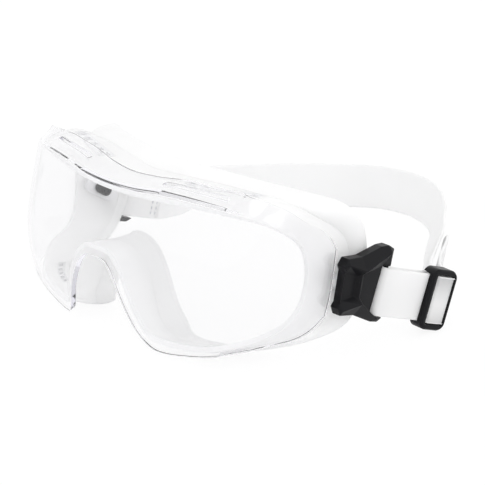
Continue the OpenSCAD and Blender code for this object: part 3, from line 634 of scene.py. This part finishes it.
BAR = np.array([3.0, 18.6, -3.3])
OUTLINE = np.array([
    (-4.6, 6.4, 3.9), (-5.8, 8.4, 4.3), (-4, 11.6, 4.2), (4, 12, 4.2), (14.6, 15.6, 4.2), (18.6, 16, 4.4),
    (22, 14.4, 4.3), (22, 6.8, 3.9), (16.9, 7.65, 4.2), (13.2, -13, 4.2), (21.6, -14.5, 4.0),
    (18.6, -16, 4.3),
    (14.6, -15.6, 4.2), (4, -12, 4.2), (-4, -11.6, 4.2), (-5.8, -8.4, 4.3), (-4.6, -6.4, 3.9),
])
INNER = {
    "horn_up": (-4.1, 9.3, 5.8), "peak_up": (4.8, 6.6, 7.5), "fin_up": (18.9, 13.2, 6.5),
    "horn_low": (-4.1, -9.3, 5.8), "peak_low": (4.8, -6.6, 7.5), "fin_low": (17.6, -14.4, 5.6),
    "panel_up": (-4.0, 5.4, 3.4), "panel_in_up": (3.0, 4.2, 3.4), "panel_in_low": (3.0, -4.2, 3.4),
    "panel_low": (-4.0, -5.4, 3.4), "bar_up": (4.3, 4.8, 5.4), "bar_low": (4.3, -4.8, 5.4),
    "groove_up": (5.6, 4.9, 4.7), "groove_low": (5.6, -4.9, 4.7),
}
FACETS = [
    ("panel_up", "panel_low", "panel_in_low", "panel_in_up"), (0, 16, "panel_low", "panel_up"),
    (1, 0, "panel_up", "horn_up"), ("horn_up", "panel_up", "panel_in_up", "peak_up"), (2, 1, "horn_up"),
    (3, 2, "horn_up", "peak_up"), (4, 3, "peak_up", "fin_up"), (5, 4, "fin_up"), (6, 5, "fin_up"),
    (7, 6, "fin_up"), (8, 7, "fin_up"), (8, "fin_up", "peak_up", "groove_up"),
    ("peak_up", "panel_in_up", "bar_up"), ("groove_up", "peak_up", "bar_up"),
    ("bar_up", "panel_in_up", "panel_in_low", "bar_low"), ("groove_up", "bar_up", "bar_low", "groove_low"),
    (8, "groove_up", "groove_low", 9), (16, 15, "horn_low", "panel_low"),
    ("panel_low", "horn_low", "peak_low", "panel_in_low"), (15, 14, "horn_low"),
    (14, 13, "peak_low", "horn_low"), (13, 12, "fin_low", "peak_low"), (12, 11, "fin_low"),
    (11, 10, "fin_low"),
    (10, 9, "fin_low"), (9, "groove_low", "peak_low", "fin_low"), ("panel_in_low", "peak_low", "bar_low"),
    ("bar_low", "peak_low", "groove_low"),
]
count = len(OUTLINE)
top = OUTLINE[:, [2, 0, 1]]
base = np.column_stack([np.zeros(count), OUTLINE[:, :2]])
inner_points = np.array(list(INNER.values()))[:, [2, 0, 1]]
number = {name: 2 * count + k for k, name in enumerate(INNER)}
plate_points = np.concatenate([top, base, inner_points])
plate_faces = [[number.get(c, c) for c in facet] for facet in FACETS]
plate_faces += [[k, (k + 1) % count, (k + 1) % count + count, k + count] for k in range(count)]
plate_faces.append(list(range(count, 2 * count)))
BAND_SLOPE = np.radians(8.2)
bar_len, bar_r, bar_sides = 23.8, 1.1, 36
bar_round = round_outline((0, 0), bar_r, bar_sides)
bar_stops = np.array([-bar_len / 2, bar_len / 2])
bar_axis = np.array([0, np.sin(BAND_SLOPE), np.cos(BAND_SLOPE)])
bar_side = np.array([0, np.cos(BAND_SLOPE), -np.sin(BAND_SLOPE)])
bar_points = np.concatenate([
    BAR + bar_axis * stop + bar_round[:, :1] * np.array([1, 0, 0]) + bar_round[:, 1:] * bar_side
    for stop in bar_stops
])
k = np.arange(bar_sides)
k_next = (k + 1) % bar_sides
bar_walls = np.stack([k_next, k, k + bar_sides, k_next + bar_sides], 1)
bar_faces = [list(k), list(k[::-1] + bar_sides), *bar_walls.tolist()]


def turned_out(piece):
    """Turns every face of a closed piece outward."""
    edit = bmesh.new()
    edit.from_mesh(piece.data)
    bmesh.ops.recalc_face_normals(edit, faces=edit.faces)
    if edit.calc_volume(signed=True) < 0:
        bmesh.ops.reverse_faces(edit, faces=edit.faces)
    edit.to_mesh(piece.data)
    edit.free()
    return piece


# The bar has enough sides that its round edges stay under the angle that gets a bevel
for side in ("left", "right"):
    points, faces = joined((plate_points, plate_faces), (bar_points, bar_faces))
    points, faces = on_side(points + (BUCKLE_X, PIVOT_Y, PIVOT_Z), faces, side)
    buckle = mesh_piece(f"buckle_{side}_plate", to_row(points), faces, black_abs, smooth=False)
    finish_edges(turned_out(buckle), 0.35, angle=12)
    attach(buckle, "headband")
    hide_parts(f"buckle_{side}")

# === Headband =========================================================================
# One flat elastomer band: stitched round the far bar, standing on its edge round the back,
# looped round the near bar and carried back through the adjuster to a free tail.

BAND_W, BAND_WIDE, BAND_T, BAND_GAP = 20.0, 22.0, 1.3, 0.3
FOLD_R = bar_r + BAND_GAP + BAND_T / 2
FOLD_LEN, SLIDE_AT, SLIDE_LEN = 24, 30.5, 14.5
FALL = PITCH + BAND_SLOPE
YAW = np.radians(-4)
# Middle of the band on the table: place from side to side, from front to back, height, lean in degrees
BAND_ROUTE = [
    (79.5, 114.2, 12.5, 0), (76, 116.4, 12.2, 6), (70.5, 119.2, 11.8, 12), (64.5, 124.5, 11.4, 18),
    (57.5, 133.5, 11.1, 22), (50, 144.5, 10.8, 22), (41.5, 157, 10.6, 22), (31.5, 169, 10.6, 22),
    (22, 181, 10.7, 20), (12, 192, 11, 12), (1, 199.5, 11.1, 8), (-12, 203, 11.2, 3),
    (-24, 202, 11.2, 0), (-35, 197.5, 11.2, 0), (-50, 184, 11.3, 2), (-64.5, 166, 12, 4),
    (-75, 147, 13.2, 4), (-79.5, 130, 15.4, 2),
]
TAIL_ROUTE = [
    (84.2, 115.6, 11.4, -5), (82.3, 118.8, 10.9, -7), (79, 120.9, 10.8, -10), (74.6, 122.5, 10.8, -13),
    (70.3, 125, 10.9, -13), (66.3, 129.8, 10.9, -12), (61.5, 136, 10.9, -11), (53.5, 149, 10.8, -10),
    (48, 156, 10.7, -10), (44.5, 159.3, 10.6, -10),
]
PLAN_Y = 101.53


def bar_middle(side):
    """Middle of a buckle's bar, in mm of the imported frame; side is 1 for left and -1 for right."""
    return to_row(np.array([side * (BUCKLE_X + BAR[0]), PIVOT_Y + BAR[1], PIVOT_Z + BAR[2]])) / MM


def band_dir(side):
    """Direction in which the strap leaves the bar, falling to the table."""
    return np.array([-side * np.sin(YAW) * np.cos(FALL), np.cos(YAW) * np.cos(FALL), -np.sin(FALL)])


def level_up(run):
    """The direction square to run that points up most."""
    return unit(np.array([0, 0, 1.0]) - run * run[..., 2:3])


def band_out(side):
    """Direction out of the strap's outer face at a bar."""
    return side * np.cross(band_dir(side), level_up(band_dir(side)))


def straight(side, layer, stops):
    """Points of the layer outside (1) or inside (-1) a bar, at distances along the band, with no lean."""
    at = [bar_middle(side) + band_dir(side) * stop + band_out(side) * layer * FOLD_R for stop in stops]
    return np.column_stack([at, np.zeros(len(at))])


def bar_turn(side, layer, steps=24):
    """Half turn round the front of a bar, from one layer to the other."""
    a = np.arange(1, steps)[:, None] * np.pi / steps
    at = bar_middle(side) + FOLD_R * (band_out(side) * layer * np.cos(a) - band_dir(side) * np.sin(a))
    return np.column_stack([at, np.zeros(steps - 1)])


def on_table(route):
    """A route moved from the plan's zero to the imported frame's."""
    route = np.array(route, float)
    return route + (hinge[0], -PLAN_Y, 0, 0)


def spline(points, steps):
    """Catmull-Rom curve through open points, with steps to each stretch."""
    u = np.arange(0, len(points) - 1 + 1e-9, 1 / steps)
    i = np.minimum(np.floor(u).astype(int), len(points) - 2)
    t = (u - i)[:, None]
    pick = [points[np.clip(i + k, 0, len(points) - 1)] for k in (-1, 0, 1, 2)]
    weights = [-t + 2 * t**2 - t**3, 2 - 5 * t**2 + 3 * t**3, t + 4 * t**2 - 3 * t**3, t**3 - t**2]
    return 0.5 * sum(p * w for p, w in zip(pick, weights))


free = spline(np.concatenate([
    straight(1, -1, [SLIDE_AT - SLIDE_LEN, SLIDE_AT - 5, SLIDE_AT - 1, SLIDE_AT + 3]), on_table(BAND_ROUTE),
    straight(-1, 1, [FOLD_LEN + 6, FOLD_LEN]),
]), 12)
tail = spline(np.concatenate([
    straight(1, 1, [SLIDE_AT - 4, SLIDE_AT + 1, SLIDE_AT + 4]), on_table(TAIL_ROUTE),
]), 12)
near_stop = SLIDE_AT - SLIDE_LEN
line = np.concatenate([
    straight(-1, -1, np.arange(FOLD_LEN - 3, -0.1, -3)), bar_turn(-1, -1),
    straight(-1, 1, np.arange(0, FOLD_LEN - 5, 3)), free[::-1],
    straight(1, -1, np.arange(near_stop - 3, 0.1, -2.9)), bar_turn(1, -1),
    straight(1, 1, np.arange(0, SLIDE_AT - 6.5, 3)), tail,
])
at, lean = line[:, :3], np.radians(line[:, 3:])
run = np.empty_like(at)
run[1:-1], run[0], run[-1] = at[2:] - at[:-2], at[1] - at[0], at[-1] - at[-2]
run = unit(run)
to_bar = np.minimum(*(np.linalg.norm(at - bar_middle(side), axis=1) for side in (1, -1)))
bar_up = np.array([0, np.sin(FALL), np.cos(FALL)])
flat = np.where((to_bar < FOLD_R + 3)[:, None], bar_up, level_up(run))
left = unit(np.cross(flat, run))
up = flat * np.cos(lean) + left * np.sin(lean)
out = unit(np.cross(run, up))
reach = np.concatenate([[0], np.cumsum(np.linalg.norm(np.diff(at, axis=0), axis=1))])


def ramp(t):
    """Smooth rise from 0 to 1."""
    t = np.clip(t, 0, 1)
    return t * t * (3 - 2 * t)


def tube_faces(rows, cols):
    """Faces of a tube on a grid of points, each row a closed ring, with a cap at either end."""
    r, c = np.meshgrid(np.arange(rows - 1), np.arange(cols), indexing="ij")
    right = (c + 1) % cols
    quads = np.stack([r * cols + c, r * cols + right, (r + 1) * cols + right, (r + 1) * cols + c], -1)
    caps = [list(range(cols))[::-1], list(range((rows - 1) * cols, rows * cols))]
    return quads.reshape(-1, 4).tolist() + caps


# The band is wider round the back than at the buckles, and its free end is round
WIDEN_FROM, WIDEN_TO, WIDEN_OVER = 70, 345, 60
grown = ramp((reach - WIDEN_FROM) / WIDEN_OVER) * ramp((WIDEN_TO - reach) / WIDEN_OVER)
width = BAND_W + (BAND_WIDE - BAND_W) * grown
end = reach[-1] - reach
tip = 0.3 + 0.7 * np.sqrt(np.clip(1 - (1 - end / (BAND_W / 2)) ** 2, 0, 1))
width *= np.where(end < BAND_W / 2, tip, 1)
# Cross-section: round edges and flat faces, as [side, share of the flat half, offset, height]
half_t = BAND_T / 2
turn_a = np.radians(np.arange(-90, 91, 22.5))
ring = [(1, 1, half_t * np.cos(a), half_t * np.sin(a)) for a in turn_a]
ring += [(np.sign(u), abs(u), 0, half_t) for u in np.linspace(0.93, -0.93, 12)]
ring += [(-1, 1, half_t * np.cos(a), half_t * np.sin(a)) for a in turn_a[::-1]]
ring += [(np.sign(u), abs(u), 0, -half_t) for u in np.linspace(-0.93, 0.93, 12)]
sign, share, offset, thick = np.array(ring).T
half_w = width[:, None] / 2
across_mm = sign * (share * (half_w - half_t) + offset)
body = at[:, None] + up[:, None] * across_mm[..., None] + out[:, None] * thick[None, :, None]
band_rubber = milky("milky_band_elastomer", ("#F6F6F6", "#F3F3F3"), "#F6F6F6", 0.5, 0.4, 0.35)
band_piece = mesh_piece("headband_strap", body * MM, tube_faces(*body.shape[:2]), band_rubber)
turned_out(band_piece)
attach(band_piece, "headband")
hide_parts("headband")

# === Stitching ========================================================================
# Two rows of polyester thread hold the folded end; each stitch stands a little proud.

thread, tree, output = new_material("grey_polyester_thread")
place = add(tree, "TexCoord")
twist_with_groove_shade = add(tree, "TexWave", {"Scale": 900.0, "Distortion": 0.4}, Vector=place.outputs["Object"])
# The thread's tone follows the same wave as its bump: the ridges of the twist are light and the grooves are
# painted darker, as shade, on top of the bump's own shading
tone = add(tree, "Mix", {
    "data_type": "RGBA", 6: linear("#B9B9C0"), 7: linear("#D2D2D8"),
}, i0=twist_with_groove_shade.outputs["Fac"])
bump = add(tree, "Bump", {"Strength": 0.5, "Distance": 0.0001}, Height=twist_with_groove_shade.outputs["Fac"])
fibre = add(
    tree, "BsdfPrincipled", {"Roughness": 0.7}, Base_Color=tone.outputs[2], Normal=bump.outputs["Normal"],
)
tree.links.new(fibre.outputs[0], output.inputs["Surface"])
STITCH, STITCH_STEP, THREAD_R, STITCHES = 1.6, 2.4, 0.22, 7
ALONG, ROUND = 9, 10
stitch_up = level_up(band_dir(-1))
t = np.linspace(-1, 1, ALONG)[:, None, None]
a = (np.arange(ROUND) * np.pi / 5)[None, :, None]
# A stitch is a bar of thread with round ends, sunk a little at both
thick_r = THREAD_R * np.sqrt(np.clip(1 - (np.abs(t) - 0.7).clip(0) ** 2 / 0.095, 0.02, 1))
bar_of_thread = thick_r * (np.cos(a) * band_out(-1) + np.sin(a) * band_dir(-1))
parts = []
for along in (FOLD_LEN - 8, FOLD_LEN - 5):
    for layer in (-1, 1):
        proud = band_out(-1) * layer * (BAND_T / 2 + THREAD_R - 0.05)
        sag = band_out(-1) * layer * (-0.14) * t**2
        for n in range(STITCHES):
            mid = straight(-1, layer, [along])[0, :3] + proud
            mid = mid + stitch_up * STITCH_STEP * (n - 3)
            p = mid + stitch_up * t * STITCH / 2 + sag + bar_of_thread
            parts.append((p.reshape(-1, 3), tube_faces(ALONG, ROUND)))
points, faces = joined(*parts)
stitches = turned_out(mesh_piece("band_stitches", points * MM, faces, thread))
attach(stitches, "headband")
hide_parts("band_stitching")

# === Slide adjuster ===================================================================
# A black slotted slider: two outer bars over the strap, rails beside it and one middle
# bar between its layers.

RAIL_W, OUTER_BAR_T, FRONT_BAR, REAR_BAR, MID_BAR = 2.4, 2.4, 3.0, 1.4, 3.6
inside = BAND_W / 2 + 0.5
outside = inside + RAIL_W
low_x, high_x = -FOLD_R + BAND_T / 2 + BAND_GAP, FOLD_R + BAND_T / 2 + BAND_GAP + OUTER_BAR_T
under_bar = FOLD_R + BAND_T / 2 + BAND_GAP


def rounded_rectangle(half_y, half_z, radius, per_corner=12):
    """Outline of a rectangle with round corners, anticlockwise from its first corner arc."""
    a = np.radians(np.linspace(0, 90, per_corner))
    corners = []
    for k, (sy, sz) in enumerate([(1, 1), (-1, 1), (-1, -1), (1, -1)]):
        c = a + k * np.pi / 2
        corners.append(np.column_stack([
            sy * (half_y - radius) + radius * np.cos(c), sz * (half_z - radius) + radius * np.sin(c),
        ]))
    return np.concatenate(corners)


def straightened(outline, per_side=10):
    """Adds points along the straight sides between the corner arcs."""
    out_points = []
    per = len(outline) // 4
    for k in range(4):
        arc_points = outline[k * per:(k + 1) * per]
        nxt = outline[((k + 1) * per) % len(outline)]
        out_points.append(arc_points)
        t = np.linspace(0, 1, per_side + 2)[1:-1, None]
        out_points.append(arc_points[-1] * (1 - t) + nxt * t)
    return np.concatenate(out_points)


outer = straightened(rounded_rectangle(SLIDE_LEN / 2, outside, 3.8))
window_half, window_at = (SLIDE_LEN - FRONT_BAR - REAR_BAR) / 2, (FRONT_BAR - REAR_BAR) / 2
inner = straightened(rounded_rectangle(window_half, inside, 0.9)) + (window_at, 0)
under_end = (np.abs(inner[:, 1]) < inside - 0.3) & (np.abs(inner[:, 0] - window_at) > window_half - 0.5)
floor_x = np.where(under_end, under_bar, low_x)
# The ring's profile, as outlines and heights: up the outer side, over a bevel and down the window.
# Over the strap it stops short of the strap's face
profile = [
    (outer, np.where(np.abs(outer[:, 1]) < inside, under_bar - 0.15, low_x)),
    (outer, np.full(len(outer), high_x - 0.75)),
    (outer * 0.78 + inner * 0.22, np.full(len(outer), high_x - 0.12)),
    (outer * 0.7 + inner * 0.3, np.full(len(outer), high_x)),
    (outer * 0.25 + inner * 0.75, np.full(len(outer), high_x)),
    (inner, np.full(len(outer), high_x - 0.45)),
    (inner, floor_x),
]
rings = np.array([np.column_stack([x, o]) for o, x in profile])
rows, cols = rings.shape[:2]
r, c = np.meshgrid(np.arange(rows), np.arange(cols), indexing="ij")
nr, nc = (r + 1) % rows, (c + 1) % cols
ring_faces = np.stack([r * cols + c, r * cols + nc, nr * cols + nc, nr * cols + c], -1)
ring_faces = ring_faces.reshape(-1, 4).tolist()
mid_corners = [(y * MID_BAR / 2, z * (inside + 0.5)) for y, z in ((-1, -1), (1, -1), (1, 1), (-1, 1))]
mid = prism(np.array(mid_corners), low_x, FOLD_R - BAND_T / 2 - BAND_GAP)
points, faces = joined((rings.reshape(-1, 3), ring_faces), mid)
fall_turn = np.array([[1, 0, 0], [0, np.cos(FALL), np.sin(FALL)], [0, -np.sin(FALL), np.cos(FALL)]])
yaw_turn = np.array([[np.cos(YAW), -np.sin(YAW), 0], [np.sin(YAW), np.cos(YAW), 0], [0, 0, 1]])


def on_near_strap(points):
    """Points of the adjuster, turned to lie along the near strap at the adjuster's place."""
    return points @ fall_turn.T @ yaw_turn.T + bar_middle(1) + band_dir(1) * SLIDE_AT


slider = mesh_piece("slide_adjuster_body", on_near_strap(points) * MM, faces, black_abs)
finish_edges(turned_out(slider), 0.25, angle=35)
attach(slider, "adjuster")
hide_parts("slide_adjuster")

# === Band in the adjuster =============================================================
# The same elastomer band swells where it crosses the middle bar and fills the window. The
# swelling goes with the adjuster, because it forms wherever the bar is.

SWELL_RISE, EDGE_R = 3.1, 0.5
spread = 0.5 - 0.5 * np.cos(np.pi * np.linspace(0, 1, 41))
along = SLIDE_LEN * spread * 0.9 - SLIDE_LEN / 2 + 1.2
share_a = (along - along[0]) / (along[-1] - along[0])
# Steep at the front end, nearly level on top, and steep again at the rear bar
rise = SWELL_RISE * np.clip(share_a * 4, 0, 1) ** 0.7 * np.clip(1 - share_a, 0, 1) ** 0.08
swell = FOLD_R + BAND_T / 2 - 0.05 + rise
wide = BAND_W / 2
edge_a = np.radians(np.linspace(0, 90, 5))
edge_z = wide - EDGE_R + EDGE_R * np.sin(edge_a)
drop = EDGE_R * (1 - np.cos(edge_a))
zs = np.concatenate([edge_z, -edge_z[::-1]])
rings = []
for y, top_x in zip(along, swell):
    xs = np.concatenate([top_x - drop, (top_x - drop)[::-1]])
    over = np.column_stack([xs, np.full(len(xs), y), zs])
    rings.append(np.concatenate([over, [(FOLD_R, y, -wide), (FOLD_R, y, wide)]]))
rings = np.array(rings)
points = on_near_strap(rings.reshape(-1, 3))
swelling = mesh_piece("band_in_adjuster", points * MM, tube_faces(*rings.shape[:2]), band_rubber)
turned_out(swelling)
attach(swelling, "adjuster")
